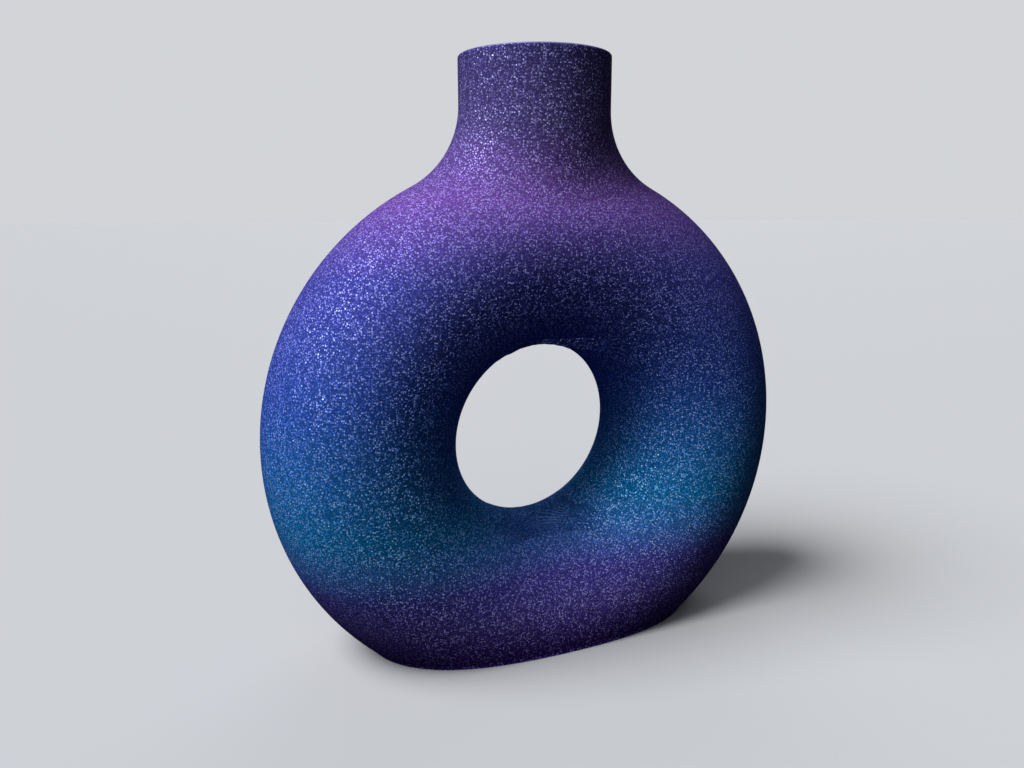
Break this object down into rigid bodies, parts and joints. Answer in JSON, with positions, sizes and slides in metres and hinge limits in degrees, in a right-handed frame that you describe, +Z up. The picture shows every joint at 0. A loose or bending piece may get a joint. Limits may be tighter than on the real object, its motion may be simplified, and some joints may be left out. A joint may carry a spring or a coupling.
{
  "type": "donut vase",
  "caption": "Hollow vase shaped as an upright ring with a flared neck on top and a flat foot, printed in layers from a glittering filament that changes colour with height.",
  "frame": {"origin": "middle of the flat foot, on the surface that the vase stands on", "axes": "+Z up along the neck, +Y through the hole towards the back, +X to the viewer's right"},
  "size_m": [0.18, 0.06, 0.1886],
  "materials": {
    "pla_purple": "glitter-filled PLA, fine layer lines, satin",
    "pla_teal": "glitter-filled PLA, fine layer lines, satin",
    "pla_blue": "glitter-filled PLA, fine layer lines, satin",
    "pla_indigo": "glitter-filled PLA, fine layer lines, satin",
    "pla_violet": "glitter-filled PLA, fine layer lines, satin",
    "pla_plum": "glitter-filled PLA, fine layer lines, satin"
  },
  "bodies": {
    "root": {"base_floor": "pla_purple", "foot_wall": "pla_purple", "lower_ring_wall": "pla_teal", "left_limb_wall": "pla_blue", "right_limb_wall": "pla_blue", "upper_ring_wall": "pla_indigo", "shoulder_wall": "pla_violet", "neck_flare": "pla_plum", "neck_collar": "pla_plum"}
  },
  "joints": []
}
